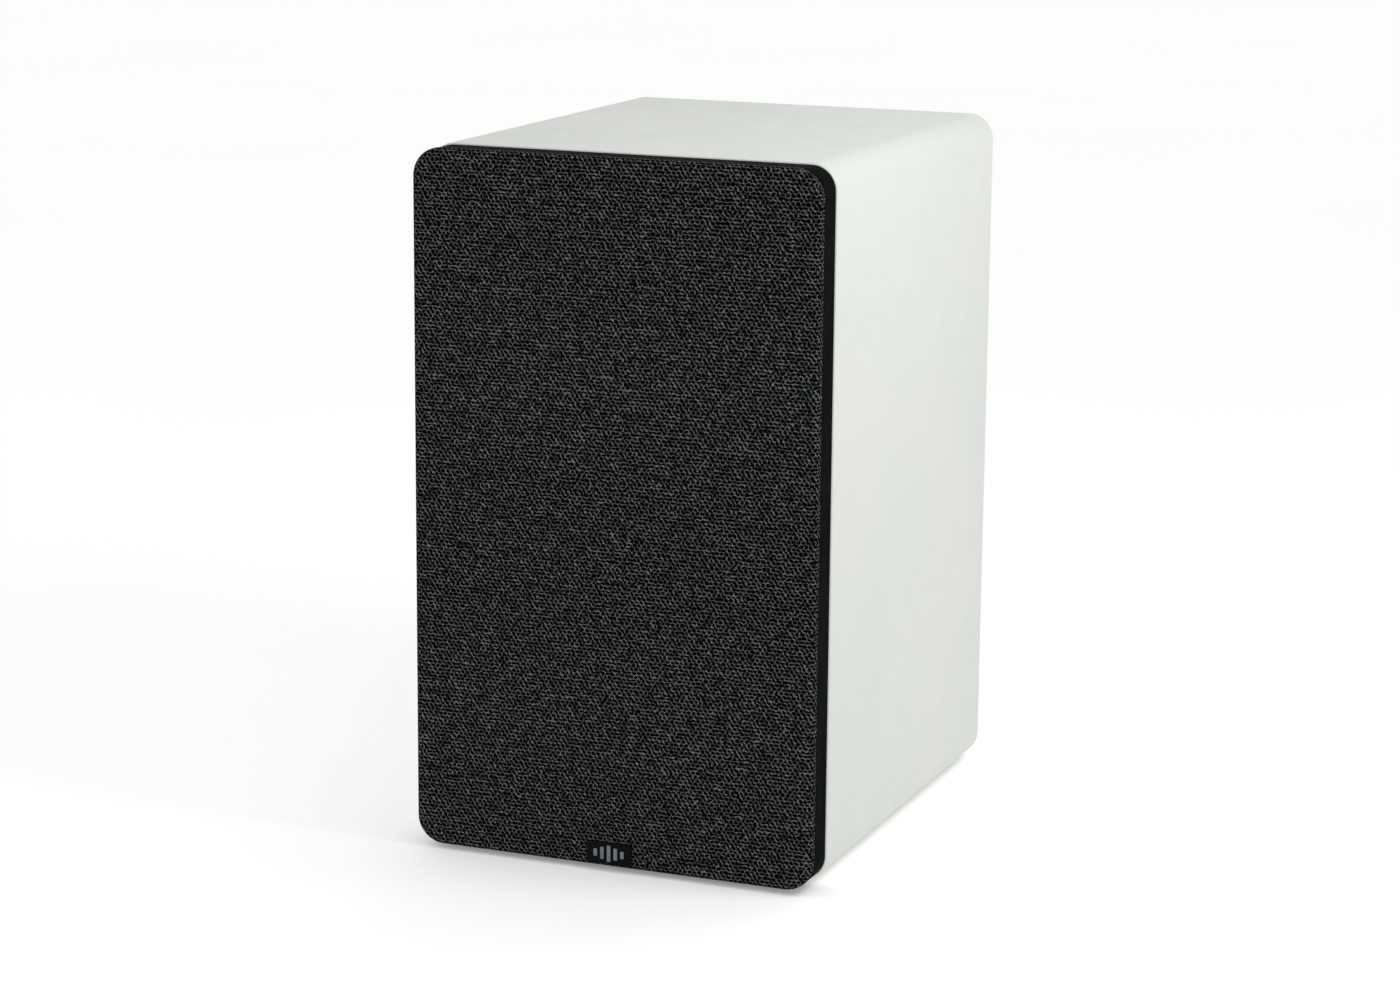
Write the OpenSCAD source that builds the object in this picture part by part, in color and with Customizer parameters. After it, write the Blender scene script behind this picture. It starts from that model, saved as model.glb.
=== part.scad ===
// Passive two-way bookshelf speaker: white cabinet, black baffle, cloth grille.
// Origin: centre of the footprint, on the surface it stands on. +Z is up, the grille faces -Y.
// Round driver parts are drawn about local +Z, which points out of the baffle (towards -Y),
// with local Z = 0 on the baffle's front face.

/* [Cabinet] */
// Outer width of the cabinet
cab_w = 196; // [186:1:210]
// Outer height of the cabinet, without its feet
cab_h = 325; // [318:1:360]
// Depth of the white cabinet behind the baffle
cab_d = 224; // [212:1:260]
// Thickness of the cabinet walls
wall = 15; // [12:0.5:18]
// Radius of the four long edges
corner_r = 12; // [8:0.5:14]
// Height of the rubber feet
foot_h = 2; // [1.5:0.5:6]

/* [Front] */
// How far the black baffle stands in front of the cabinet
baffle_t = 14; // [12:0.5:18]
// How far the baffle is set in from the cabinet's sides
baffle_inset = 0.8; // [0:0.1:2]
// Space that the grille takes in front of the baffle
grille_t = 6; // [6:0.1:8]
// Radius of the grille's corners
grille_r = 13; // [10:0.5:14]
// Thickness of the grille cloth
cloth_t = 0.6; // [0.5:0.1:0.8]
// Width of the badge
badge_w = 22; // [16:0.5:26]
// Height of the badge
badge_h = 10; // [8:0.5:12]

/* [Drivers] */
// Height of the woofer's axis above the feet's underside
woofer_z = 103; // [100:1:106]
// Height of the tweeter's axis above the feet's underside
tweeter_z = 245; // [242:1:255]
// Radius of the woofer's frame
woofer_r = 73; // [73:0.5:76]
// Radius of the tweeter's faceplate
tweeter_r = 52; // [50:0.5:53]

/* [Rear] */
// Height of the port's axis
port_z = 252; // [244:1:262]
// Inner radius of the port tube
port_r = 24; // [20:0.5:25]
// Height of the terminal cup's centre
cup_z = 86; // [76:1:100]
// Distance between the two binding posts
post_pitch = 19; // [19:0.5:22]

/* [Hidden] */
$fn = 72;
eps = 0.02;

// Depths along Y
badge_proud = 1;
depth = badge_proud + grille_t + baffle_t + cab_d;
back_y = depth / 2;
cloth_y = -depth / 2 + badge_proud;
baffle_y = cloth_y + grille_t;
cab_y = baffle_y + baffle_t;
flange_t = 2;
rear_y = back_y - flange_t;
mid_z = foot_h + cab_h / 2;

// Cabinet
inner_r = 6;
inner_w = cab_w - 2 * wall;
inner_h = cab_h - 2 * wall;
floor_z = foot_h + wall;
panel_gap = 0.1;
foot_r = 9;
foot_x = 74;
foot_inset = 24;

// Baffle
plug_t = 6;
baffle_total = baffle_t + plug_t;
front_w = cab_w - 2 * baffle_inset;
front_h = cab_h - 2 * baffle_inset;
baffle_edge = 1;

// Grille: a moulded frame inside a wrapped cloth
grille_gap = 0.2;
grille_edge = 2.6;
grille_inset = 0.3;
grille_w = cab_w - 2 * grille_inset;
grille_h = cab_h - 2 * grille_inset;
hem_w = 5;
frame_gap = 0.05;
rim_w = 15;
bar_z = (woofer_z + woofer_r + tweeter_z - tweeter_r) / 2;
bar_h = 9;
pin_r = 2.9;
pin_l = 9;
pin_in = 9.6;
socket_r = 4.6;
socket_bore = 3;
socket_t = 11;

// Badge: a dark plate with a row of plain level-meter bars
badge_x = 0;
badge_z = foot_h + 7;
plate_t = 0.6;
bar_w = 1.9;
bar_gap = 3.3;
bar_heights = [3.6, 5.8, 7.8, 5.8, 3.6];

// Woofer, in local Z from the baffle's face
lip_z = -0.2;
flange_low = -4.8;
ledge_z = -4.2;
ledge_r = 62.2;
woofer_hole_r = 63.2;
roll_mid = 53.4;
roll_r = 5;
roll_t = 0.8;
cone_r = 45;
cone_edge_r = 49;
cone_t = 0.7;
cone_top = ledge_z - 0.1;
neck_r = 12.85;
neck_z = -24.5;
cap_r = 19;
cap_rise = 6;
spider_z = -27;
seat_z = -38;
seat_t = 2;
plate_w_t = 6;
magnet_w_t = 15;
magnet_w_r = 40;
steel_r = 37;
back_t = 6;
former_r = 12.7;
coil_w_r = 13.2;
gap_r = 13.7;
pole_r = 12.1;
coil_l = 12;
screw_w_r = 68.4;

// Tweeter, in local Z from the baffle's face
tweeter_hole_r = 38;
plate_f_t = 4;
horn_r = 36;
throat_r = 14.2;
throat_z = -6.2;
boss_r = 36;
boss_z = -9;
dome_r = 12.5;
dome_rise = 5.2;
dome_t = 0.35;
susp_r = 16.3;
coil_t_r = 12.6;
plate_t_t = 4;
magnet_t_t = 10;
magnet_t_r = 35;
yoke_t_t = 5;
steel_t_r = 32;
cup_t_r = 30;
cup_t_l = 16;
screw_t_r = 45.5;

// Port
port_wall = 2.5;
port_l = 112;
flare_r = 11;
port_flange_r = 42;

// Terminal cup
cup_w = 96;
cup_h = 66;
cup_r = 6;
well_w = 74;
well_h = 44;
well_wall = 2.5;
well_depth = 23;
cup_floor_t = 3;
well_floor_y = rear_y - well_depth;
stud_r = 3;
stud_bore = 2;
stud_out = 21;
stud_in = 14;
collar_t = 3;
washer_t = 1;
knob_r = 7;
knob_l = stud_out - collar_t - washer_t;
knob_fit = 0.05;
play = 0.05;
gasket_t = 1;

// Crossover
board_w = 110;
board_l = 86;
board_t = 1.6;
board_y = 36;
spacer_h = 6;
board_z = floor_z + spacer_h;
board_top = board_z + board_t;

// Wires
wire_r = 1.2;
wire_sides = 8;

// ---------- shared shapes ----------

// Arc of points about [cx, cy]
function arc(cx, cy, r, a0, a1, n) =
    [for (i = [0:n]) [cx + r * cos(a0 + (a1 - a0) * i / n), cy + r * sin(a0 + (a1 - a0) * i / n)]];

function turned_back(list) = [for (i = [len(list) - 1:-1:0]) list[i]];

module rounded_rect(w, h, r) {
    square([w - 2 * r, h], center = true);
    square([w, h - 2 * r], center = true);
    for (x = [-1, 1], z = [-1, 1])
        translate([x * (w / 2 - r), z * (h / 2 - r)])
            circle(r);
}

// Upright plate between two depths, centred on the cabinet
module plate(w, h, r, y0, y1, z = mid_z) {
    translate([0, y1, z])
        rotate([90, 0, 0])
            linear_extrude(y1 - y0)
                rounded_rect(w, h, r);
}

// Plate whose front edge (towards -Y) is rounded with radius e
module soft_plate(w, h, r, y0, y1, e) {
    t = y1 - y0;
    translate([0, y1, mid_z])
        rotate([90, 0, 0])
            union() {
                linear_extrude(t - e)
                    rounded_rect(w, h, r);
                linear_extrude(t)
                    rounded_rect(w - 2 * e, h - 2 * e, r - e);
                for (x = [-1, 1])
                    translate([x * (w / 2 - e), 0, t - e])
                        rotate([90, 0, 0])
                            cylinder(r = e, h = h - 2 * r, center = true);
                for (z = [-1, 1])
                    translate([0, z * (h / 2 - e), t - e])
                        rotate([0, 90, 0])
                            cylinder(r = e, h = w - 2 * r, center = true);
                for (x = [-1, 1], z = [-1, 1])
                    translate([x * (w / 2 - r), z * (h / 2 - r), t - e])
                        rotate_extrude()
                            translate([r - e, 0])
                                circle(e);
            }
}

// Places children on a driver's axis
module on_axis(z) {
    translate([0, baffle_y, z])
        rotate([90, 0, 0])
            children();
}

// Ring between two radii and two heights
module ring(r_in, r_out, z0, z1) {
    translate([0, 0, z0])
        difference() {
            cylinder(r = r_out, h = z1 - z0);
            translate([0, 0, -1])
                cylinder(r = r_in, h = z1 - z0 + 2);
        }
}

// Copies children at n equal angles on radius r, with the first at a0
module around(n, r, a0 = 45) {
    for (i = [0:n - 1])
        rotate([0, 0, a0 + 360 / n * i])
            translate([r, 0, 0])
                children();
}

// Countersunk screw pointing down local -Z, head flush at Z = 0
module screw(head_r, shank_r, length) {
    head_h = head_r - shank_r;
    difference() {
        union() {
            translate([0, 0, -head_h])
                cylinder(r1 = shank_r, r2 = head_r, h = head_h);
            translate([0, 0, -length])
                cylinder(r = shank_r, h = length);
        }
        translate([0, 0, -1.4])
            cylinder(r = head_r * 0.45, h = 2, $fn = 6);
    }
}

// Hole that takes such a screw, with clearance c
module screw_hole(head_r, shank_r, length, c = 0.1) {
    head_h = head_r - shank_r;
    translate([0, 0, -head_h])
        cylinder(r1 = shank_r + c, r2 = head_r + c, h = head_h + eps);
    translate([0, 0, -length])
        cylinder(r = shank_r + c, h = length);
}

// ---------- wires ----------

function unit(v) = v / norm(v);

// Point between p1 and p2 on a smooth curve through p0..p3
function spline_point(p0, p1, p2, p3, t) =
    0.5 * (2 * p1 + (p2 - p0) * t + (2 * p0 - 5 * p1 + 4 * p2 - p3) * t * t
        + (3 * p1 - p0 - 3 * p2 + p3) * t * t * t);

function spline(p, n) = concat(
    [for (i = [0:len(p) - 2], k = [0:n - 1])
        spline_point(p[max(i - 1, 0)], p[i], p[i + 1], p[min(i + 2, len(p) - 1)], k / n)],
    [p[len(p) - 1]]);

function heading(path, i) = unit(path[min(i + 1, len(path) - 1)] - path[max(i - 1, 0)]);

// A side vector carried along the path without twisting
function side_at(path, i, ref) =
    i == 0 ? unit(cross(heading(path, 0), ref))
    : let (h = heading(path, i), s = side_at(path, i - 1, ref)) unit(s - h * (s * h));

module wire(points, steps, ref = [1, 0.3, 0.2]) {
    path = spline(points, steps);
    n = len(path);
    rings = [for (i = [0:n - 1])
        let (h = heading(path, i), s = side_at(path, i, ref), u = cross(h, s))
        [for (k = [0:wire_sides - 1])
            path[i] + wire_r * (s * cos(360 * k / wire_sides) + u * sin(360 * k / wire_sides))]];
    skin = [for (i = [0:n - 2], k = [0:wire_sides - 1])
        let (a = i * wire_sides, k2 = (k + 1) % wire_sides)
        [a + k, a + k2, a + wire_sides + k2, a + wire_sides + k]];
    start_cap = [[for (k = [wire_sides - 1:-1:0]) k]];
    end_cap = [[for (k = [0:wire_sides - 1]) (n - 1) * wire_sides + k]];
    polyhedron(
        points = [for (r = rings) each r],
        faces = [for (f = concat(skin, start_cap, end_cap)) turned_back(f)],
        convexity = 8);
}

// ---------- cabinet ----------

module cabinet_wrap() {
    color("whitesmoke")
        difference() {
            plate(cab_w, cab_h, corner_r, cab_y, back_y);
            plate(inner_w, inner_h, inner_r, cab_y - 1, back_y + 1);
        }
}

module rear_panel() {
    color("gainsboro")
        difference() {
            plate(inner_w - 2 * panel_gap, inner_h - 2 * panel_gap, inner_r - panel_gap,
                rear_y - wall, rear_y);
            translate([0, rear_y + 1, port_z])
                rotate([90, 0, 0])
                    cylinder(r = port_r + flare_r + 0.3, h = wall + 2);
            plate(well_w + 2 * well_wall + 0.6, well_h + 2 * well_wall + 0.6, cup_r,
                rear_y - wall - 1, rear_y + 1, cup_z);
            at_cup_screws()
                screw_hole(3.2, 1.5, 13.4);
        }
}

module front_baffle() {
    color("#1a1a1a")
        difference() {
            union() {
                soft_plate(front_w, front_h, corner_r - baffle_inset, baffle_y, cab_y, baffle_edge);
                plate(inner_w - 2 * panel_gap, inner_h - 2 * panel_gap, inner_r - panel_gap,
                    cab_y - eps, cab_y + plug_t);
            }
            on_axis(woofer_z) {
                translate([0, 0, flange_low - 0.1])
                    cylinder(r = woofer_r + 0.3, h = 10);
                translate([0, 0, -baffle_total - 1])
                    cylinder(r = woofer_hole_r, h = baffle_total + 2);
                around(4, screw_w_r)
                    translate([0, 0, lip_z])
                        screw_hole(3.8, 1.75, 17);
            }
            on_axis(tweeter_z) {
                translate([0, 0, -plate_f_t - 0.1])
                    cylinder(r = tweeter_r + 0.3, h = 10);
                translate([0, 0, -baffle_total - 1])
                    cylinder(r = tweeter_hole_r, h = baffle_total + 2);
                around(4, screw_t_r)
                    screw_hole(3.4, 1.75, 17);
            }
            at_pins()
                translate([0, 0, -socket_t - 0.1])
                    cylinder(r = socket_r + 0.05, h = socket_t + 2);
        }
}

module perforated_brace() {
    brace_t = 12;
    hole_r = 15;
    y0 = cab_y + plug_t + 6;
    y1 = rear_y - wall - 4;
    color("tan")
        difference() {
            translate([-inner_w / 2 + panel_gap, y0, bar_z - brace_t / 2])
                cube([inner_w - 2 * panel_gap, y1 - y0, brace_t]);
            for (x = [-50, 0, 50], k = [0:3])
                translate([x, y0 + 27 + k * 42, bar_z - brace_t])
                    cylinder(r = hole_r, h = 2 * brace_t);
        }
}

module damping_pads() {
    pad_t = 12;
    y0 = cab_y + plug_t + 12;
    y1 = rear_y - wall - 8;
    color("lightgray")
        for (x = [-1, 1], span = [[44, bar_z - 10], [bar_z + 10, foot_h + cab_h - wall - 12]])
            translate([x * (inner_w / 2 - 0.3 - pad_t / 2), (y0 + y1) / 2, (span[0] + span[1]) / 2])
                cube([pad_t, y1 - y0, span[1] - span[0]], center = true);
}

module rubber_feet() {
    color("#222222")
        for (x = [-foot_x, foot_x], y = [cab_y + foot_inset, back_y - foot_inset])
            translate([x, y, 0])
                cylinder(r = foot_r, h = foot_h);
}

// ---------- grille ----------

module at_pins() {
    for (x = [-1, 1], z = [-1, 1])
        translate([x * (grille_w / 2 - pin_in), baffle_y, mid_z + z * (grille_h / 2 - pin_in)])
            rotate([90, 0, 0])
                children();
}

// Outer form of the grille shrunk by c on the front and sides, and by b at the back
module grille_form(c, b) {
    soft_plate(grille_w - 2 * c, grille_h - 2 * c, grille_r - c,
        cloth_y + c, baffle_y - grille_gap - b, grille_edge - c);
}

module grille_frame() {
    c = cloth_t + frame_gap;
    low = foot_h + grille_inset + rim_w;
    high = foot_h + cab_h - grille_inset - rim_w;
    color("#111111") {
        difference() {
            grille_form(c, c);
            for (span = [[low, bar_z - bar_h / 2], [bar_z + bar_h / 2, high]])
                plate(grille_w - 2 * rim_w, span[1] - span[0], 6, cloth_y - 1, baffle_y + 1,
                    (span[0] + span[1]) / 2);
        }
        at_pins()
            translate([0, 0, -pin_l])
                cylinder(r = pin_r, h = pin_l + grille_gap + c + 1);
    }
}

module grille_fabric() {
    color("#3a3a3a")
        difference() {
            grille_form(0, 0);
            grille_form(cloth_t, cloth_t);
            plate(grille_w - 2 * hem_w, grille_h - 2 * hem_w, grille_r - hem_w,
                baffle_y - grille_gap - cloth_t - 0.5, baffle_y + 1);
        }
}

module grille_sockets() {
    color("#202020")
        at_pins()
            difference() {
                translate([0, 0, -socket_t])
                    cylinder(r = socket_r, h = socket_t);
                translate([0, 0, -pin_l - 0.6])
                    cylinder(r = socket_bore, h = pin_l + 2);
            }
}

module badge_plate() {
    color("#0d0d0d")
        translate([badge_x, 0, 0])
            plate(badge_w, badge_h, 1, cloth_y - plate_t, cloth_y - eps, badge_z);
}

module badge_bars() {
    color("silver")
        for (i = [0:len(bar_heights) - 1])
            translate([badge_x + (i - 2) * bar_gap, 0, 0])
                plate(bar_w, bar_heights[i], 0.6, cloth_y - badge_proud, cloth_y - plate_t, badge_z);
}

// ---------- woofer ----------

module woofer_basket() {
    seat_low = seat_z - seat_t;
    color("#2b2b2b")
        on_axis(woofer_z)
            difference() {
                rotate_extrude()
                    polygon([
                        [57.8, ledge_z], [ledge_r, ledge_z], [ledge_r, lip_z], [woofer_r, lip_z],
                        [woofer_r, flange_low], [ledge_r, flange_low], [ledge_r, -6.6], [60, -7.4],
                        [45, -28.2], [45, -29.4], [40.2, -29.4], [40.2, seat_low],
                        [15.5, seat_low], [15.5, seat_z], [38, seat_z], [38, spider_z - 0.4],
                        [38, spider_z], [43, spider_z], [57.8, -6.4]
                    ]);
                around(6, 0, 30)
                    translate([41, -17, -25])
                        cube([30, 34, 16]);
                around(6, 0, 0)
                    translate([30, -12, -37])
                        cube([30, 24, 6]);
                around(4, screw_w_r)
                    translate([0, 0, lip_z])
                        screw_hole(3.8, 1.75, 10, 0.2);
            }
}

module woofer_trim_ring() {
    color("#151515")
        on_axis(woofer_z)
            ring(58.6, ledge_r - 0.2, ledge_z + roll_t + 0.05, lip_z);
}

module woofer_surround() {
    foot = ledge_z + roll_t;
    color("#101010")
        on_axis(woofer_z)
            rotate_extrude()
                polygon(concat(
                    [[cone_edge_r - 4.2, ledge_z + 0.02]],
                    [[roll_mid - roll_r + roll_t, ledge_z + 0.02]],
                    turned_back(arc(roll_mid, ledge_z + 0.02, roll_r - roll_t, 4, 176, 20)),
                    [[roll_mid + roll_r - roll_t, ledge_z + 0.02], [ledge_r - 0.3, ledge_z + 0.02]],
                    [[ledge_r - 0.3, foot]],
                    arc(roll_mid, ledge_z, roll_r, 9, 171, 20),
                    [[cone_edge_r - 4.2, foot]]
                ));
}

// Height of the cone's front face at radius r: a gently curved flare
function cone_z(r) = cone_top - (cone_top - neck_z) * pow((cone_r - r) / (cone_r - neck_r), 1.18);

module woofer_cone() {
    n = 18;
    radii = [for (i = [0:n]) neck_r + (cone_r - neck_r) * i / n];
    front = [for (r = radii) [r, cone_z(r)]];
    rear = [for (r = radii) [r, cone_z(r) - cone_t]];
    color("#3c3f42")
        on_axis(woofer_z)
            rotate_extrude()
                polygon(concat(front, [[cone_edge_r, cone_top], [cone_edge_r, cone_top - cone_t]],
                    turned_back(rear)));
}

module woofer_dust_cap() {
    ball = (cap_r * cap_r + cap_rise * cap_rise) / (2 * cap_rise);
    rim_z = cone_z(cap_r) + 0.3;
    centre = rim_z + cap_rise - ball;
    half = asin(cap_r / ball);
    color("#2a2c2e")
        on_axis(woofer_z)
            rotate_extrude()
                polygon(concat(
                    arc(0, centre, ball, 90 - half, 90, 14),
                    turned_back(arc(0, centre, ball - cone_t, 90 - half, 90, 14))));
}

module woofer_former() {
    color("#c9a36a")
        on_axis(woofer_z)
            ring(former_r - 0.2, former_r, seat_z - seat_t - plate_w_t - 4, neck_z + 1);
}

module woofer_coil() {
    centre = seat_z - seat_t - plate_w_t / 2;
    color("#b5651d")
        on_axis(woofer_z)
            ring(former_r + 0.01, coil_w_r, centre - coil_l / 2, centre + coil_l / 2);
}

module woofer_spider() {
    n = 60;
    r0 = former_r + 0.1;
    r1 = 37;
    waves = 5;
    amp = 1.3;
    wave = [for (i = [0:n]) [r0 + (r1 - r0) * i / n, spider_z + amp * sin(360 * waves * i / n)]];
    low = [for (p = wave) [p[0], p[1] + 0.02]];
    high = [for (p = wave) [p[0], p[1] + 0.5]];
    color("#c8a04a")
        on_axis(woofer_z)
            rotate_extrude()
                polygon(concat(low, [[42.6, spider_z + 0.02], [42.6, spider_z + 0.5]],
                    turned_back(high)));
}

module woofer_top_plate() {
    top = seat_z - seat_t - 0.02;
    color("#8a8d90")
        on_axis(woofer_z)
            ring(gap_r, steel_r, top - plate_w_t, top);
}

module woofer_magnet() {
    top = seat_z - seat_t - plate_w_t - 0.04;
    color("#3b3b3d")
        on_axis(woofer_z)
            ring(21, magnet_w_r, top - magnet_w_t, top);
}

module woofer_yoke() {
    top = seat_z - seat_t;
    back = top - plate_w_t - magnet_w_t - 0.06;
    color("#8a8d90")
        on_axis(woofer_z)
            difference() {
                union() {
                    translate([0, 0, back - back_t])
                        cylinder(r = steel_r, h = back_t);
                    translate([0, 0, back - 1])
                        cylinder(r = pole_r, h = top - back + 1);
                }
                translate([0, 0, back - back_t - 1])
                    cylinder(r = 4, h = 60);
            }
}

// Tag board with two blade tabs, on the side of a driver at radius x
module tag_board(x, w, top, low, tab_l) {
    color("#6b4a2a")
        translate([x, -w / 2, low])
            cube([1.5, w, top - low]);
    color("silver")
        for (s = [-1, 1])
            translate([x + 0.35, s * w / 3.4 - 1.6, low - tab_l])
                cube([0.8, 3.2, tab_l + 1]);
}

module woofer_terminals() {
    on_axis(woofer_z)
        tag_board(60.2, 16, -7.6, -21, 8);
}

module woofer_screws() {
    color("#1c1c1c")
        on_axis(woofer_z)
            around(4, screw_w_r)
                translate([0, 0, lip_z])
                    screw(3.8, 1.75, 16);
}

// ---------- tweeter ----------

module tweeter_faceplate() {
    n = 14;
    horn = [for (i = [0:n])
        let (t = i / n) [throat_r + (horn_r - throat_r) * t, throat_z * pow(1 - t, 1.7)]];
    color("#161616")
        on_axis(tweeter_z)
            difference() {
                rotate_extrude()
                    polygon(concat(
                        [[throat_r, throat_z - 0.4]], horn,
                        [[tweeter_r, 0], [tweeter_r, -plate_f_t], [boss_r, -plate_f_t], [boss_r, boss_z],
                         [20.4, boss_z], [20.4, boss_z + 0.5], [susp_r + 0.5, boss_z + 0.5],
                         [susp_r + 0.5, throat_z - 0.4]]));
                around(4, screw_t_r)
                    screw_hole(3.4, 1.75, 10, 0.2);
            }
}

module tweeter_dome() {
    ball = (dome_r * dome_r + dome_rise * dome_rise) / (2 * dome_rise);
    rim = boss_z + 0.4;
    centre = rim + dome_rise - ball;
    half = asin(dome_r / ball);
    color("#202022")
        on_axis(tweeter_z)
            rotate_extrude()
                polygon(concat(
                    arc(0, centre, ball, 90 - half, 90, 16),
                    turned_back(arc(0, centre, ball - dome_t, 90 - half, 90, 16))));
}

module tweeter_suspension() {
    mid = (dome_r + 0.05 + susp_r) / 2;
    out = (susp_r - dome_r - 0.05) / 2;
    base = boss_z + 0.05;
    color("#181818")
        on_axis(tweeter_z)
            rotate_extrude()
                polygon(concat(
                    [[dome_r + 0.05, base], [mid - out + dome_t, base]],
                    turned_back(arc(mid, base, out - dome_t, 8, 172, 10)),
                    [[susp_r - dome_t, base], [20, base], [20, base + dome_t]],
                    arc(mid, base, out, 11, 172, 10)));
}

module tweeter_coil() {
    top = boss_z + 0.12;
    color("#b5651d")
        on_axis(tweeter_z) {
            ring(coil_t_r - 0.45, coil_t_r - 0.25, top - 5, top);
            ring(coil_t_r - 0.3, coil_t_r, top - 4.6, top - 1.6);
        }
}

module tweeter_top_plate() {
    color("#8a8d90")
        on_axis(tweeter_z)
            ring(coil_t_r + 0.35, steel_t_r, boss_z - plate_t_t, boss_z - 0.02);
}

module tweeter_magnet() {
    top = boss_z - plate_t_t - 0.02;
    color("#3b3b3d")
        on_axis(tweeter_z)
            ring(18, magnet_t_r, top - magnet_t_t, top);
}

module tweeter_yoke() {
    back = boss_z - plate_t_t - magnet_t_t - 0.04;
    color("#8a8d90")
        on_axis(tweeter_z)
            difference() {
                union() {
                    translate([0, 0, back - yoke_t_t])
                        cylinder(r = steel_t_r, h = yoke_t_t);
                    translate([0, 0, back - 1])
                        cylinder(r = coil_t_r - 0.8, h = boss_z - back + 0.6);
                }
                translate([0, 0, back - yoke_t_t - 1])
                    cylinder(r = 3, h = 40);
            }
}

module tweeter_rear_cup() {
    top = boss_z - plate_t_t - magnet_t_t - yoke_t_t - 0.06;
    color("#1d1d1d")
        on_axis(tweeter_z)
            difference() {
                translate([0, 0, top - cup_t_l])
                    cylinder(r = cup_t_r, h = cup_t_l);
                translate([0, 0, top - cup_t_l + 2])
                    cylinder(r = cup_t_r - 2, h = cup_t_l);
            }
}

module tweeter_terminals() {
    on_axis(tweeter_z)
        tag_board(35.3, 12, boss_z - 0.1, -18, 7);
}

module tweeter_screws() {
    color("#1c1c1c")
        on_axis(tweeter_z)
            around(4, screw_t_r)
                screw(3.4, 1.75, 16);
}

// ---------- rear ----------

module port_tube() {
    mouth = port_r + flare_r;
    face = flange_t - 0.3;
    // Local Z points out of the back, with Z = 0 on the rear panel's outer face
    color("#181818")
        translate([0, rear_y, port_z])
            rotate([-90, 0, 0])
                rotate_extrude()
                    polygon(concat(
                        [[port_flange_r, eps], [port_flange_r, face]],
                        arc(mouth, face - flare_r, flare_r, 90, 180, 12),
                        [[port_r, -port_l], [port_r + port_wall, -port_l],
                         [port_r + port_wall, -wall], [mouth, -5], [mouth, eps]]));
}

module at_cup_screws() {
    for (x = [-1, 1], z = [-1, 1])
        translate([x * (cup_w / 2 - 5.5), rear_y + flange_t, cup_z + z * (cup_h / 2 - 5.5)])
            rotate([-90, 0, 0])
                children();
}

module at_posts() {
    for (x = [-1, 1])
        at_post(x)
            children();
}

// Local Z points out of the back, with Z = 0 on the well's floor
module at_post(side) {
    translate([side * post_pitch / 2, well_floor_y, cup_z])
        rotate([-90, 0, 0])
            children();
}

module terminal_cup() {
    color("#141414")
        difference() {
            union() {
                plate(cup_w, cup_h, cup_r, rear_y + gasket_t, rear_y + flange_t, cup_z);
                plate(well_w + 2 * well_wall, well_h + 2 * well_wall, cup_r - 0.4,
                    well_floor_y - cup_floor_t, rear_y + gasket_t + eps, cup_z);
            }
            plate(well_w, well_h, cup_r - 2, well_floor_y, back_y + 1, cup_z);
            at_posts()
                translate([0, 0, -cup_floor_t - 1])
                    cylinder(r = stud_r + 0.05, h = cup_floor_t + 2);
            at_cup_screws()
                screw_hole(3.2, 1.5, 6, 0.2);
        }
}

module terminal_gasket() {
    color("#333333")
        difference() {
            plate(cup_w - 1, cup_h - 1, cup_r - 0.5, rear_y + eps, rear_y + gasket_t - eps, cup_z);
            plate(well_w + 2 * well_wall + 0.6, well_h + 2 * well_wall + 0.6, cup_r,
                rear_y - 1, rear_y + 3, cup_z);
            at_cup_screws()
                translate([0, 0, -4])
                    cylinder(r = 2.2, h = 6);
        }
}

module terminal_screws() {
    color("#1c1c1c")
        at_cup_screws()
            screw(3.2, 1.5, 13);
}

module post(side) {
    color("goldenrod")
        at_post(side)
            difference() {
                translate([0, 0, -stud_in])
                    cylinder(r = stud_r, h = stud_in + stud_out);
                translate([0, 0, stud_out - 14])
                    cylinder(r = stud_bore, h = 16);
                translate([0, 0, collar_t + 2.5])
                    rotate([90, 0, 0])
                        cylinder(r = 1.5, h = 10, center = true);
            }
}

module collar(side, tint) {
    color(tint)
        at_post(side)
            ring(stud_r + 0.02, knob_r, eps, collar_t - play);
}

module washer(side) {
    color("goldenrod")
        at_post(side)
            ring(stud_r + 0.3, knob_r - 0.6, collar_t + play, collar_t + washer_t - play);
}

module knob(side, tint) {
    base = collar_t + washer_t + play;
    flutes = 12;
    color(tint)
        at_post(side)
            difference() {
                translate([0, 0, base])
                    cylinder(r = knob_r, h = knob_l - play);
                translate([0, 0, base - 1])
                    cylinder(r = stud_r + knob_fit, h = knob_l + 3);
                around(flutes, knob_r + 0.7, 0)
                    translate([0, 0, base + 3])
                        cylinder(r = 1.4, h = knob_l);
            }
}

module post_left() { post(-1); }
module post_right() { post(1); }
module collar_left() { collar(-1, "#a01818"); }
module collar_right() { collar(1, "#1a1a1a"); }
module washer_left() { washer(-1); }
module washer_right() { washer(1); }
module knob_left() { knob(-1, "#b01c1c"); }
module knob_right() { knob(1, "#151515"); }

module post_nuts() {
    color("silver")
        at_posts()
            difference() {
                translate([0, 0, -cup_floor_t - 3.2])
                    cylinder(r = 5.6, h = 3.18, $fn = 6);
                translate([0, 0, -cup_floor_t - 4])
                    cylinder(r = stud_r + 0.02, h = 5);
            }
}

module solder_tags() {
    top = -cup_floor_t - 3.22;
    color("goldenrod")
        at_posts()
            difference() {
                union() {
                    translate([0, 0, top - 0.8])
                        cylinder(r = 5, h = 0.8);
                    translate([-1.8, 0, top - 0.8])
                        cube([3.6, 14, 0.8]);
                }
                translate([0, 0, top - 2])
                    cylinder(r = stud_r + 0.02, h = 4);
            }
}

// ---------- crossover ----------

module at_board_corners() {
    for (x = [-1, 1], y = [-1, 1])
        translate([x * (board_w / 2 - 5), board_y + y * (board_l / 2 - 5), 0])
            children();
}

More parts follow.
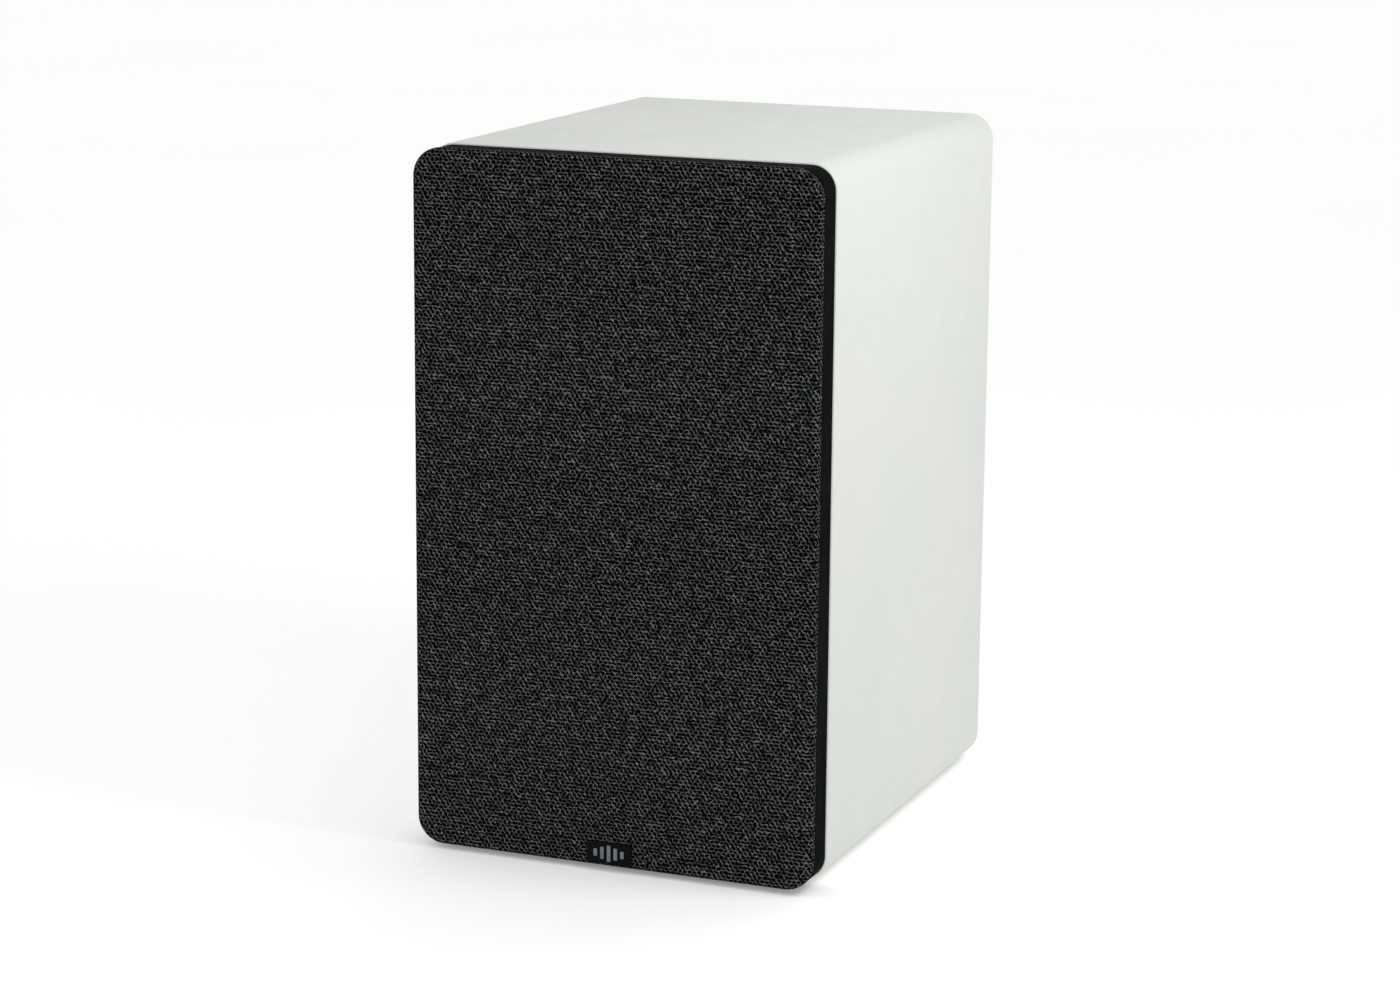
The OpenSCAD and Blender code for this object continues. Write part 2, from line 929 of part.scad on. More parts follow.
module crossover_board() {
    color("#1f6b3a")
        difference() {
            translate([-board_w / 2, board_y - board_l / 2, board_z])
                cube([board_w, board_l, board_t]);
            at_board_corners()
                translate([0, 0, board_z - 1])
                    cylinder(r = 1.8, h = 4);
        }
}

module board_screws() {
    color("silver")
        at_board_corners() {
            translate([0, 0, floor_z + eps])
                ring(1.7, 3.2, 0, spacer_h - 2 * eps);
            translate([0, 0, board_top + eps])
                cylinder(r = 3, h = 1.6);
            translate([0, 0, floor_z + eps])
                cylinder(r = 1.5, h = spacer_h + board_t + 0.4);
        }
}

module crossover_capacitors() {
    lift = board_top + eps;
    color("#2a3f8f")
        for (c = [[-22, 18, 9, 32], [-22, 42, 7.5, 28], [-22, 60, 6, 22]])
            translate([c[0] - c[3] / 2, c[1], lift + c[2]])
                rotate([0, 90, 0])
                    cylinder(r = c[2], h = c[3]);
}

module crossover_inductors() {
    lift = board_top + eps;
    color("#b5651d") {
        translate([28, 18, lift])
            ring(7, 17, 0, 16);
        translate([30, 60, lift + 14])
            rotate([0, 90, 0])
                translate([0, 0, -7])
                    ring(6, 14, 0, 14);
    }
}

module crossover_resistors() {
    color("white")
        for (y = [2, 72])
            translate([-34, y, board_top + eps])
                cube([24, 7, 7]);
}

// ---------- wiring ----------

module input_wires() {
    tag_y = well_floor_y - cup_floor_t - 3.62;
    for (side = [-1, 1])
        color(side < 0 ? "#b01c1c" : "#151515")
            wire([
                [side * post_pitch / 2, tag_y, cup_z - 14],
                [side * post_pitch / 2, tag_y - 1, cup_z - 22],
                [side * 8, tag_y - 4, 52],
                [side * 5, 80, 36],
                [side * 4, 73, board_top + 1.3]
            ], 5);
}

module woofer_wires() {
    tab_y = baffle_y + 29;
    for (side = [-1, 1])
        color(side < 0 ? "#b01c1c" : "#151515")
            wire([
                [60.95, tab_y, woofer_z + side * 4.7],
                [61, tab_y + 12, woofer_z + side * 4],
                [61 + side * 3, -54, 84],
                [60 + side * 3, -38, 56],
                [52 + side * 3, -20, 37],
                [44 + side * 3, -8, board_top + 5],
                [36 + side * 4, 0, board_top + 1.3]
            ], 6);
}

module tweeter_wires() {
    tab_y = baffle_y + 25;
    for (side = [-1, 1])
        color(side < 0 ? "#b01c1c" : "#151515")
            wire([
                [36.05, tab_y, tweeter_z + side * 3.5],
                [37, tab_y + 12, tweeter_z + side * 3],
                [43 + side * 3, -66, 228],
                [50 + side * 3, -60, 208],
                [50 + side * 3, -60, bar_z],
                [54 + side * 3, -48, 156],
                [60 + side * 3, -20, 110],
                [62 + side * 3, 12, 70],
                [57 + side * 3, 30, 42],
                [50 + side * 3, 38, board_top + 1.3]
            ], 6);
}

cabinet_wrap();
rear_panel();
front_baffle();
perforated_brace();
damping_pads();
rubber_feet();
grille_frame();
grille_fabric();
grille_sockets();
badge_plate();
badge_bars();
woofer_basket();
woofer_trim_ring();
woofer_surround();
woofer_cone();
woofer_dust_cap();
woofer_former();
woofer_coil();
woofer_spider();
woofer_top_plate();
woofer_magnet();
woofer_yoke();
woofer_terminals();
woofer_screws();
tweeter_faceplate();
tweeter_dome();
tweeter_suspension();
tweeter_coil();
tweeter_top_plate();
tweeter_magnet();
tweeter_yoke();
tweeter_rear_cup();
tweeter_terminals();
tweeter_screws();
port_tube();
terminal_cup();
terminal_gasket();
terminal_screws();
post_left();
post_right();
collar_left();
collar_right();
washer_left();
washer_right();
knob_left();
knob_right();
post_nuts();
solder_tags();
crossover_board();
crossover_capacitors();
crossover_inductors();
crossover_resistors();
board_screws();
input_wires();
woofer_wires();
tweeter_wires();
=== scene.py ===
"""Looks of a passive bookshelf speaker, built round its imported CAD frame. Metres, grille facing -Y."""
import math

import bmesh
import bpy
import numpy as np
from mathutils import Matrix, Vector, noise


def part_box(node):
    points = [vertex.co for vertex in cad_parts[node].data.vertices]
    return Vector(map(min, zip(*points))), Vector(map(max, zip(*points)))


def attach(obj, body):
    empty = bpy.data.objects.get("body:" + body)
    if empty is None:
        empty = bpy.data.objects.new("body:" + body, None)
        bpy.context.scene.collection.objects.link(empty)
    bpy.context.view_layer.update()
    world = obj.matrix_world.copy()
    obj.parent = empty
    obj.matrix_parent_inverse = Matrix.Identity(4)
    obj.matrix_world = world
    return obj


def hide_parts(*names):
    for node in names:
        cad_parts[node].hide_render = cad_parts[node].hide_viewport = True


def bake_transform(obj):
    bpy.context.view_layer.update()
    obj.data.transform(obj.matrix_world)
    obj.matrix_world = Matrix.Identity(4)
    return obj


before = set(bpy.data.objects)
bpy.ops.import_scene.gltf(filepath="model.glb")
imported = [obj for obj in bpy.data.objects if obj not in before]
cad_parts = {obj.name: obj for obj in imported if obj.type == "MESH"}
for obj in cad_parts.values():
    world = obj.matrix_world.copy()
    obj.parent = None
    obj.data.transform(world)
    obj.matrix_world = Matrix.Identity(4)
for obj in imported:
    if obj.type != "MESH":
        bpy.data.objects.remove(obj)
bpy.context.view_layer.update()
MM = 0.001

# ---------------------------------------------------------------- places, taken from the frame

WRAP_LOW, WRAP_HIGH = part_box("cabinet_wrap")
CLOTH_LOW, CLOTH_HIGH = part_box("grille_fabric")
BAFFLE_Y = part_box("front_baffle")[0].y
CLOTH_Y = CLOTH_LOW.y
MID_Z = (WRAP_LOW.z + WRAP_HIGH.z) / 2
MID_X = (WRAP_LOW.x + WRAP_HIGH.x) / 2


def centre_of(node):
    low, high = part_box(node)
    return (low + high) / 2


WOOFER_Z = centre_of("woofer_cone").z
TWEETER_Z = centre_of("tweeter_dome").z
PORT = centre_of("port_tube")


def show(thing):
    """Puts an object in the scene."""
    bpy.context.scene.collection.objects.link(thing)


# ---------------------------------------------------------------- camera

CAMERA_LENS = 92.5
CAMERA_DISTANCE = 1.717
CAMERA_YAW = math.radians(21.9)
CAMERA_PITCH = math.radians(12.2)
CAMERA_ROLL = math.radians(0.5)
CAMERA_AIM = Vector((-0.0041, -0.0043, 0.1521))


def make_camera():
    right = Vector((math.cos(CAMERA_YAW), math.sin(CAMERA_YAW), 0))
    level = Vector((-math.sin(CAMERA_YAW), math.cos(CAMERA_YAW), 0))
    forward = level * math.cos(CAMERA_PITCH) - Vector((0, 0, math.sin(CAMERA_PITCH)))
    up = right.cross(forward)
    tilted = right * math.cos(CAMERA_ROLL) + up * math.sin(CAMERA_ROLL)
    upright = tilted.cross(forward)
    data = bpy.data.cameras.new("camera")
    data.lens = CAMERA_LENS
    data.sensor_width = 36
    data.clip_end = 100
    camera = bpy.data.objects.new("camera", data)
    turn = Matrix((tilted, upright, -forward)).transposed().to_4x4()
    camera.matrix_world = Matrix.Translation(CAMERA_AIM - forward * CAMERA_DISTANCE) @ turn
    show(camera)
    bpy.context.scene.camera = camera


# ---------------------------------------------------------------- material helpers

RANGE_SOCKETS = ("From Min", "From Max", "To Min", "To Max")


class Shader:
    """A Principled material whose pattern is worked out in millimetres of the shared frame."""

    def __init__(self, name, colour, roughness, metallic=0.0, uv=None, **sockets):
        self.material = bpy.data.materials.new(name)
        self.material.use_nodes = True
        self.nodes = self.material.node_tree.nodes
        self.links = self.material.node_tree.links
        self.bsdf = self.nodes["Principled BSDF"]
        self.set("Base Color", (*colour, 1))
        self.set("Roughness", roughness)
        self.set("Metallic", metallic)
        for socket, value in sockets.items():
            self.set(socket.replace("_", " "), value)
        if uv:
            source = self.nodes.new("ShaderNodeUVMap")
            source.uv_map = uv
            self.place = source.outputs["UV"]
        else:
            source = self.nodes.new("ShaderNodeTexCoord")
            self.place = self.scaled(source.outputs["Object"], (1000, 1000, 1000))

    def set(self, socket, value):
        self.bsdf.inputs[socket].default_value = value

    def feed(self, socket, output):
        self.links.new(output, self.bsdf.inputs[socket])

    def wire(self, node, socket, value):
        if isinstance(value, bpy.types.NodeSocket):
            self.links.new(value, node.inputs[socket])
        elif value is not None:
            node.inputs[socket].default_value = value

    def scaled(self, vector, by):
        node = self.nodes.new("ShaderNodeMapping")
        node.inputs["Scale"].default_value = by
        self.links.new(vector, node.inputs["Vector"])
        return node.outputs["Vector"]

    def noise(self, size, detail=3.0, rough=0.55, stretch=None):
        """Soft noise whose lumps are about size millimetres wide."""
        place = self.scaled(self.place, stretch) if stretch else self.place
        node = self.nodes.new("ShaderNodeTexNoise")
        node.inputs["Scale"].default_value = 1 / size
        node.inputs["Detail"].default_value = detail
        node.inputs["Roughness"].default_value = rough
        self.links.new(place, node.inputs["Vector"])
        return node.outputs["Fac"]

    def cells(self, size):
        node = self.nodes.new("ShaderNodeTexVoronoi")
        node.inputs["Scale"].default_value = 1 / size
        self.links.new(self.place, node.inputs["Vector"])
        return node.outputs["Distance"]

    def math(self, kind, a, b=None):
        node = self.nodes.new("ShaderNodeMath")
        node.operation = kind
        self.wire(node, 0, a)
        self.wire(node, 1, b)
        return node.outputs[0]

    def between(self, value, low, high, to_low=0.0, to_high=1.0, smooth=True):
        node = self.nodes.new("ShaderNodeMapRange")
        node.interpolation_type = "SMOOTHSTEP" if smooth else "LINEAR"
        self.wire(node, "Value", value)
        for socket, number in zip(RANGE_SOCKETS, (low, high, to_low, to_high)):
            node.inputs[socket].default_value = number
        return node.outputs["Result"]

    def mix(self, amount, a, b):
        """Colour a where amount is 0 and b where it is 1."""
        node = self.nodes.new("ShaderNodeMix")
        node.data_type = "RGBA"
        self.wire(node, 0, amount)
        for index, colour in ((6, a), (7, b)):
            self.wire(node, index, colour if isinstance(colour, bpy.types.NodeSocket) else (*colour, 1))
        return node.outputs[2]

    def parts(self):
        node = self.nodes.new("ShaderNodeSeparateXYZ")
        self.links.new(self.place, node.inputs[0])
        return node.outputs

    def bump(self, height, depth_mm, strength=1.0, under=None):
        """Relief of depth_mm where height runs from 0 to 1."""
        node = self.nodes.new("ShaderNodeBump")
        node.inputs["Strength"].default_value = strength
        node.inputs["Distance"].default_value = depth_mm * MM
        self.links.new(height, node.inputs["Height"])
        if under:
            self.links.new(under, node.inputs["Normal"])
        return node.outputs["Normal"]


def shaded(colour, by):
    return tuple(min(1.0, c * by) for c in colour)


def fine_surface(name, colour, roughness, grain=0.6, relief=0.02, spread=0.12, wear=0.0, **sockets):
    """Moulded, painted or machined surface: drifting tone, fine grain and uneven gloss.
    With wear above 0 its edges are lightly rubbed."""
    s = Shader(name, colour, roughness, **sockets)
    drift = s.noise(38, 2)
    grit = s.noise(grain, 4)
    tone = s.mix(s.between(drift, 0.3, 0.7), shaded(colour, 1 - spread), shaded(colour, 1 + spread))
    tone = s.mix(s.between(grit, 0.35, 0.75, 0, 0.5), tone, shaded(colour, 1 + 2 * spread))
    if wear:
        edge = s.nodes.new("ShaderNodeNewGeometry").outputs["Pointiness"]
        rubbed = s.math("MULTIPLY", s.between(edge, 0.52, 0.6), s.between(s.noise(3, 4), 0.4, 0.7))
        tone = s.mix(s.math("MULTIPLY", rubbed, wear), tone, shaded(colour, 3.0))
    s.feed("Base Color", tone)
    smear = s.noise(14, 4, 0.6)
    s.feed("Roughness", s.between(smear, 0.25, 0.75, max(roughness - 0.06, 0.02), min(roughness + 0.06, 1)))
    s.feed("Normal", s.bump(grit, relief))
    return s.material


def turned_metal(name, colour, roughness, pitch=0.35, relief=0.01):
    """Metal with fine lathe or brushing lines along the depth axis and faint staining."""
    s = Shader(name, colour, roughness, metallic=1.0)
    lines = s.noise(pitch, 5, 0.7, stretch=(1, 0.06, 1))
    stain = s.noise(9, 3)
    s.feed("Base Color", s.mix(s.between(stain, 0.3, 0.75), colour, shaded(colour, 0.72)))
    s.feed("Roughness", s.between(lines, 0.3, 0.7, roughness - 0.07, roughness + 0.09))
    s.feed("Normal", s.bump(lines, relief))
    return s.material


# ---------------------------------------------------------------- materials of the outside


def white_lacquer():
    """Satin white lacquer: near neutral with a faint green cast, an orange-peel skin and soft gloss drift."""
    s = Shader("white_lacquer", (0.628, 0.634, 0.624), 0.42)
    drift = s.noise(120, 2)
    cloud = s.noise(22, 4, 0.6)
    tone = s.mix(s.between(drift, 0.3, 0.7), (0.638, 0.64, 0.632), (0.612, 0.622, 0.61))
    tone = s.mix(s.between(cloud, 0.45, 0.8, 0, 0.2), tone, (0.65, 0.652, 0.645))
    s.feed("Base Color", tone)
    s.feed("Roughness", s.between(s.noise(16, 5, 0.65), 0.3, 0.7, 0.37, 0.48))
    peel = s.bump(s.noise(2.6, 2), 0.012)
    s.feed("Normal", s.bump(s.noise(0.35, 3), 0.004, under=peel))
    return s.material


def black_lacquer():
    """Satin black lacquer over fibreboard, with dust-fine texture and a faint haze."""
    s = Shader("black_lacquer", (0.0033, 0.0033, 0.0035), 0.62, Specular_IOR_Level=0.007)
    haze = s.noise(30, 4, 0.6)
    s.feed("Base Color", s.mix(s.between(haze, 0.35, 0.7), (0.0026, 0.0026, 0.0028), (0.004, 0.004, 0.0042)))
    s.feed("Roughness", s.between(s.noise(9, 5, 0.65), 0.3, 0.7, 0.56, 0.68))
    peel = s.bump(s.noise(2.2, 2), 0.012)
    s.feed("Normal", s.bump(s.noise(0.3, 3), 0.005, under=peel))
    return s.material


# Millimetres after which the knit repeats, with a staggered row halfway up.
KNIT_WIDE = 2.33
KNIT_HIGH = 3.46


def grille_knit():
    """Open heather knit: light threads run level and on both diagonals round staggered dark holes.
    The UV map holds millimetres measured along the cloth, so the knit turns the edges with it."""
    s = Shader("grille_knit", (0.1, 0.1, 0.1), 0.95, uv="cloth", Specular_IOR_Level=0.02)
    flat = s.parts()
    wander_x = s.math("MULTIPLY", s.math("SUBTRACT", s.noise(2.2, 2), 0.5), 2.6)
    wander_y = s.math("MULTIPLY", s.math("SUBTRACT", s.noise(2.1, 2, stretch=(0.8, 1.2, 1)), 0.5), 2.3)
    across = s.math("MULTIPLY", s.math("ADD", flat[0], wander_x), 2 * math.pi / KNIT_WIDE)
    along = s.math("MULTIPLY", s.math("ADD", flat[1], wander_y), 2 * math.pi / KNIT_HIGH)

    def thread(phase, strength, patch):
        pull = s.between(s.noise(patch, 2), 0.35, 0.65, 0.5 * strength, 1.5 * strength, smooth=False)
        return s.math("MULTIPLY", s.math("COSINE", phase), pull)

    diagonals = s.math("ADD", thread(s.math("ADD", across, along), 0.4, 4.1),
                       thread(s.math("SUBTRACT", across, along), 0.28, 3.7))
    level = thread(s.math("MULTIPLY", along, 2), -0.38, 4.6)
    net = s.math("ADD", diagonals, level)
    height = s.math("POWER", s.between(net, -0.1, 0.7), 1.5)
    fibre = s.noise(0.28, 3, 0.7)
    tuft = s.noise(1.5, 3, 0.75)
    heather = s.between(tuft, 0.34, 0.68, 0.1, 1.5, smooth=False)
    mottle = s.between(s.noise(11, 3), 0.3, 0.7, 0.82, 1.16, smooth=False)
    # Painted shade: the colour follows the thread height, so the threads darken down their flanks and the
    # holes go near black. The holes' black is partly the black baffle seen through the open knit and partly
    # painted shade.
    light = s.math("MULTIPLY", s.math("MULTIPLY", height, heather), mottle)
    light = s.math("MULTIPLY", light, s.between(fibre, 0.25, 0.75, 0.7, 1.3, smooth=False))
    s.feed("Base Color", s.mix(s.math("MINIMUM", light, 1.0), (0.0005, 0.0005, 0.0006), (0.157, 0.158, 0.16)))
    deep = s.bump(height, 0.35, 0.8)
    s.feed("Normal", s.bump(fibre, 0.06, 0.6, under=deep))
    return s.material


def badge_black():
    return fine_surface("badge_black", (0.0025, 0.0025, 0.0028), 0.35, grain=0.4, relief=0.004,
                        Specular_IOR_Level=0.05)


def badge_metal():
    return turned_metal("badge_metal", (0.2, 0.205, 0.215), 0.34, pitch=0.12, relief=0.004)


# ---------------------------------------------------------------- materials of the drivers and the back


def cone_pulp():
    """Pressed grey pulp under a thin coat: short fibres and clumps."""
    s = Shader("cone_pulp", (0.05, 0.052, 0.055), 0.55, Coat_Weight=0.15, Coat_Roughness=0.4)
    clump = s.noise(3.5, 5, 0.65)
    fibre = s.noise(0.5, 4, 0.75, stretch=(1, 1, 0.35))
    tone = s.mix(s.between(clump, 0.35, 0.7), (0.038, 0.04, 0.043), (0.066, 0.068, 0.072))
    s.feed("Base Color", s.mix(s.between(fibre, 0.52, 0.75), tone, (0.12, 0.122, 0.126)))
    s.feed("Roughness", s.between(clump, 0.3, 0.7, 0.46, 0.62))
    s.feed("Normal", s.bump(fibre, 0.05, under=s.bump(clump, 0.06)))
    return s.material


def woven(name, dark, light, pitch, roughness, relief=0.12):
    """Plain weave on the plane that faces the front: two sets of threads, over and under."""
    s = Shader(name, light, roughness)
    place = s.parts()
    wander = s.math("MULTIPLY", s.noise(6, 2), 0.6)
    warp = s.math("MULTIPLY", s.math("ADD", place[0], wander), math.pi / pitch)
    weft = s.math("MULTIPLY", s.math("ADD", place[2], wander), math.pi / pitch)
    ridge_a = s.math("ABSOLUTE", s.math("SINE", warp))
    ridge_b = s.math("ABSOLUTE", s.math("SINE", weft))
    over = s.math("MULTIPLY", s.math("COSINE", warp), s.math("COSINE", weft))
    height = s.math("ADD", s.math("MULTIPLY", ridge_a, s.between(over, -1, 1)),
                    s.math("MULTIPLY", ridge_b, s.between(over, 1, -1)))
    # Painted shade: the threads darken where they dip under each other and in the gaps between them. The
    # patches on the next line are random tone.
    tone = s.mix(s.between(height, 0.15, 0.85), dark, light)
    s.feed("Base Color", s.mix(s.between(s.noise(5, 3), 0.4, 0.75, 0, 0.4), tone, dark))
    s.feed("Normal", s.bump(height, relief))
    return s.material


def rubber():
    """Butyl rubber: soft sheen, fine moulding grain and a trace of bloom."""
    colour = (0.01, 0.01, 0.0105)
    s = Shader("rubber_black", colour, 0.5, Specular_IOR_Level=0.3)
    bloom = s.noise(12, 4, 0.6)
    s.feed("Base Color", s.mix(s.between(bloom, 0.4, 0.8), colour, shaded(colour, 1.7)))
    s.feed("Roughness", s.between(s.noise(4, 4), 0.3, 0.7, 0.42, 0.6))
    s.feed("Normal", s.bump(s.noise(0.3, 3), 0.012))
    return s.material


def winding(name, colour, pitch, axis):
    """Enamelled wire laid turn beside turn along an axis, 0 for X, 1 for Y or 2 for Z."""
    s = Shader(name, colour, 0.3, metallic=1.0)
    turns = s.math("ABSOLUTE", s.math("SINE", s.math("MULTIPLY", s.parts()[axis], math.pi / pitch)))
    # Painted shade: the creases between turns are darkened to a quarter of the wire's colour.
    s.feed("Base Color", s.mix(s.between(turns, 0.1, 0.8), shaded(colour, 0.25), colour))
    s.feed("Roughness", s.between(s.noise(3, 3), 0.3, 0.7, 0.24, 0.38))
    s.feed("Normal", s.bump(turns, pitch * 0.3))
    return s.material


def fibreboard():
    s = Shader("fibreboard", (0.42, 0.29, 0.17), 0.8)
    chips = s.noise(1.4, 5, 0.75, stretch=(1, 1, 2.5))
    s.feed("Base Color", s.mix(s.between(chips, 0.3, 0.7), (0.3, 0.2, 0.115), (0.52, 0.38, 0.24)))
    s.feed("Normal", s.bump(chips, 0.05))
    return s.material


def wadding():
    s = Shader("wadding", (0.7, 0.7, 0.67), 0.95, Sheen_Weight=0.4)
    tufts = s.noise(7, 5, 0.7)
    strands = s.noise(0.8, 4, 0.8, stretch=(1, 0.3, 1))
    tone = s.mix(s.between(tufts, 0.3, 0.7), (0.5, 0.5, 0.47), (0.78, 0.78, 0.75))
    s.feed("Base Color", s.mix(s.between(strands, 0.45, 0.7), tone, (0.86, 0.86, 0.84)))
    s.feed("Normal", s.bump(strands, 0.3, under=s.bump(tufts, 1.5)))
    return s.material


def circuit_board():
    """Green mask, paler over the tracks."""
    s = Shader("circuit_board", (0.03, 0.18, 0.07), 0.35)
    track = s.cells(9)
    copper = s.math("MULTIPLY", s.between(track, 0.44, 0.5), s.between(track, 0.62, 0.56))
    mask = s.mix(s.noise(20), (0.02, 0.13, 0.05), (0.04, 0.2, 0.08))
    s.feed("Base Color", s.mix(copper, mask, (0.09, 0.33, 0.14)))
    s.feed("Roughness", s.between(s.noise(5), 0.3, 0.7, 0.28, 0.45))
    s.feed("Normal", s.bump(copper, 0.05))
    return s.material


def make_materials():
    near_black = (0.0075, 0.0075, 0.0079)
    return {
        "white": white_lacquer(),
        "black": black_lacquer(),
        "knit": grille_knit(),
        "badge_black": badge_black(),
        "badge_metal": badge_metal(),
        "frame_plastic": fine_surface("frame_plastic", near_black, 0.55, grain=0.35, relief=0.02,
                                      Specular_IOR_Level=0.2),
        "faceplate": fine_surface("faceplate_plastic", near_black, 0.5, grain=0.3, relief=0.018,
                                  Specular_IOR_Level=0.12),
        "port": fine_surface("port_plastic", (0.013, 0.013, 0.0135), 0.45, grain=0.45, relief=0.02, wear=0.3,
                             Specular_IOR_Level=0.35),
        "basket": fine_surface("basket_paint", (0.014, 0.014, 0.0145), 0.48, grain=0.7, relief=0.03, wear=0.3,
                               Specular_IOR_Level=0.3),
        "pulp": cone_pulp(),
        "cap": fine_surface("cap_plastic", (0.028, 0.029, 0.031), 0.4, grain=0.5, relief=0.01),
        "rubber": rubber(),
        "silk": woven("dome_silk", (0.012, 0.012, 0.013), (0.035, 0.035, 0.038), 0.22, 0.5, relief=0.02),
        "spider": woven("spider_cloth", (0.3, 0.19, 0.06), (0.62, 0.44, 0.18), 0.7, 0.75),
        "former": fine_surface("former_paper", (0.46, 0.3, 0.15), 0.6, grain=0.8, relief=0.01),
        "coil": winding("voice_coil_wire", (0.72, 0.32, 0.13), 0.25, 1),
        "choke": winding("choke_wire", (0.72, 0.3, 0.12), 0.9, 2),
        "steel": turned_metal("plated_steel", (0.56, 0.57, 0.58), 0.28),
        "ferrite": fine_surface("ferrite", (0.05, 0.05, 0.052), 0.6, grain=0.9, relief=0.05, wear=0.4),
        "tag": fine_surface("tag_board", (0.2, 0.12, 0.06), 0.6, grain=0.8, relief=0.02),
        "black_steel": fine_surface("black_steel", (0.02, 0.02, 0.021), 0.32, grain=0.25, relief=0.01,
                                    wear=0.5, metallic=0.7),
        "brass": turned_metal("post_brass", (0.83, 0.6, 0.26), 0.2, pitch=0.2),
        "red": fine_surface("knob_red", (0.42, 0.012, 0.014), 0.16, grain=1.5, relief=0.003, Coat_Weight=0.6,
                            Coat_Roughness=0.06),
        "knob_black": fine_surface("knob_black", (0.014, 0.014, 0.015), 0.16, grain=1.5, relief=0.003,
                                   Coat_Weight=0.6, Coat_Roughness=0.06),
        "fibreboard": fibreboard(),
        "wadding": wadding(),
        "board": circuit_board(),
        "film": fine_surface("capacitor_film", (0.04, 0.07, 0.34), 0.25, grain=2, relief=0.01,
                             Coat_Weight=0.4),
        "cement": fine_surface("resistor_ceramic", (0.74, 0.73, 0.68), 0.8, grain=0.5, relief=0.06),
        "jacket_red": fine_surface("wire_jacket_red", (0.35, 0.02, 0.02), 0.4, grain=1.2, relief=0.01),
    }


# ---------------------------------------------------------------- mesh helpers


def add_piece(name, points, faces, material, body, replaces, sharp=32):
    """A smooth piece, creased where it turns by more than sharp degrees.
    body is None for a piece that is attached to no body."""
    mesh = bpy.data.meshes.new(name)
    mesh.from_pydata([tuple(p) for p in points], [], [tuple(f) for f in faces])
    work = bmesh.new()
    work.from_mesh(mesh)
    bmesh.ops.remove_doubles(work, verts=work.verts, dist=1e-6)
    bmesh.ops.recalc_face_normals(work, faces=work.faces)
    work.to_mesh(mesh)
    work.free()
    mesh.polygons.foreach_set("use_smooth", [True] * len(mesh.polygons))
    mesh.set_sharp_from_angle(angle=math.radians(sharp))
    mesh.materials.append(material)
    piece = bpy.data.objects.new(name, mesh)
    show(piece)
    if body:
        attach(piece, body)
    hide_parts(*replaces)
    return piece


def rounded(outline, radius, steps=5, closed=True):
    """Outline of (a, b) points with each corner softened. radius is one number, or one for each point."""
    pts = [Vector(p) for p in outline]
    radii = radius if hasattr(radius, "__len__") else [radius] * len(pts)
    out = []
    for i, p in enumerate(pts):
        if not closed and i in (0, len(pts) - 1):
            out.append(p)
            continue
        before, after = pts[i - 1] - p, pts[(i + 1) % len(pts)] - p
        turn = before.angle(after, 0)
        if radii[i] <= 0 or turn > math.radians(176):
            out.append(p)
            continue
        reach = min(radii[i] / math.tan(turn / 2), before.length * 0.48, after.length * 0.48)
        a, b = p + before.normalized() * reach, p + after.normalized() * reach
        for k in range(steps + 1):
            t = k / steps
            out.append(a * (1 - t) ** 2 + p * 2 * t * (1 - t) + b * t ** 2)
    return [tuple(p) for p in out]


def arc(cx, cy, r, a0, a1, steps):
    """Points of an arc from a0 to a1 degrees."""
    angles = [math.radians(a0 + (a1 - a0) * i / steps) for i in range(steps + 1)]
    return [(cx + r * math.cos(a), cy + r * math.sin(a)) for a in angles]


def whole_faces(points, faces):
    """The faces that have at least three different corners."""
    return [f for f in faces if len({tuple(round(c, 7) for c in points[i]) for i in f}) > 2]


def lathe(profile, place, turns=160):
    """Points and faces of a closed profile of (radius, out) in millimetres, turned about an axis.
    place(radius, out, angle) gives the point."""
    points, faces = [], []
    n = len(profile)
    for k in range(turns):
        angle = 2 * math.pi * k / turns
        points += [place(r * MM, out * MM, angle) for r, out in profile]
    for k in range(turns):
        a, b = k * n, (k + 1) % turns * n
        for i in range(n):
            j = (i + 1) % n
            faces.append((a + i, a + j, b + j, b + i))
    return points, whole_faces(points, faces)


def on_driver(z):
    """Places a lathe profile on a driver's axis: out is towards the listener."""
    return lambda r, out, a: (r * math.cos(a), BAFFLE_Y - out, z + r * math.sin(a))


def turned_piece(name, profile, place, material, body, replaces, turns=160, sharp=32):
    points, faces = lathe(profile, place, turns)
    return add_piece(name, points, faces, material, body, replaces, sharp)


def rect_loop(width, height, radius, y, sides=(1, 1), steps=14):
    """Closed loop of points round an upright rounded rectangle at depth y, centred on the cabinet.
    sides says how many pieces its level and its upright sides are cut into, steps how many each corner."""
    cx, cz = width / 2 - radius, height / 2 - radius
    points = []
    corners = ((1, 1), (-1, 1), (-1, -1), (1, -1))
    for i, (sx, sz) in enumerate(corners):
        for k in range(steps + 1):
            a = math.pi / 2 * (i + k / steps)
            points.append((MID_X + sx * cx + radius * math.cos(a), y, MID_Z + sz * cz + radius * math.sin(a)))
        nx, nz = corners[(i + 1) % 4]
        count = sides[i % 2]
        a = math.pi / 2 * (i + 1)
        start = (MID_X + sx * cx + radius * math.cos(a), MID_Z + sz * cz + radius * math.sin(a))
        end = (MID_X + nx * cx + radius * math.cos(a), MID_Z + nz * cz + radius * math.sin(a))
        for k in range(1, count):
            t = k / count
            points.append((start[0] + (end[0] - start[0]) * t, y, start[1] + (end[1] - start[1]) * t))
    return points


def skin_loops(loops, closed=True):
    """Points and faces between loops of equal length; closed joins the last loop to the first."""
    n = len(loops[0])
    points = [p for loop in loops for p in loop]
    faces = []
    for i in range(len(loops) if closed else len(loops) - 1):
        a, b = i * n, (i + 1) % len(loops) * n
        for k in range(n):
            j = (k + 1) % n
            faces.append((a + k, a + j, b + j, b + k))
    return points, faces


def paint(nodes, material):
    """Gives carried-over CAD nodes their material."""
    for name in nodes:
        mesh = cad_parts[name].data
        mesh.materials.clear()
        mesh.materials.append(material)


# ---------------------------------------------------------------- cabinet


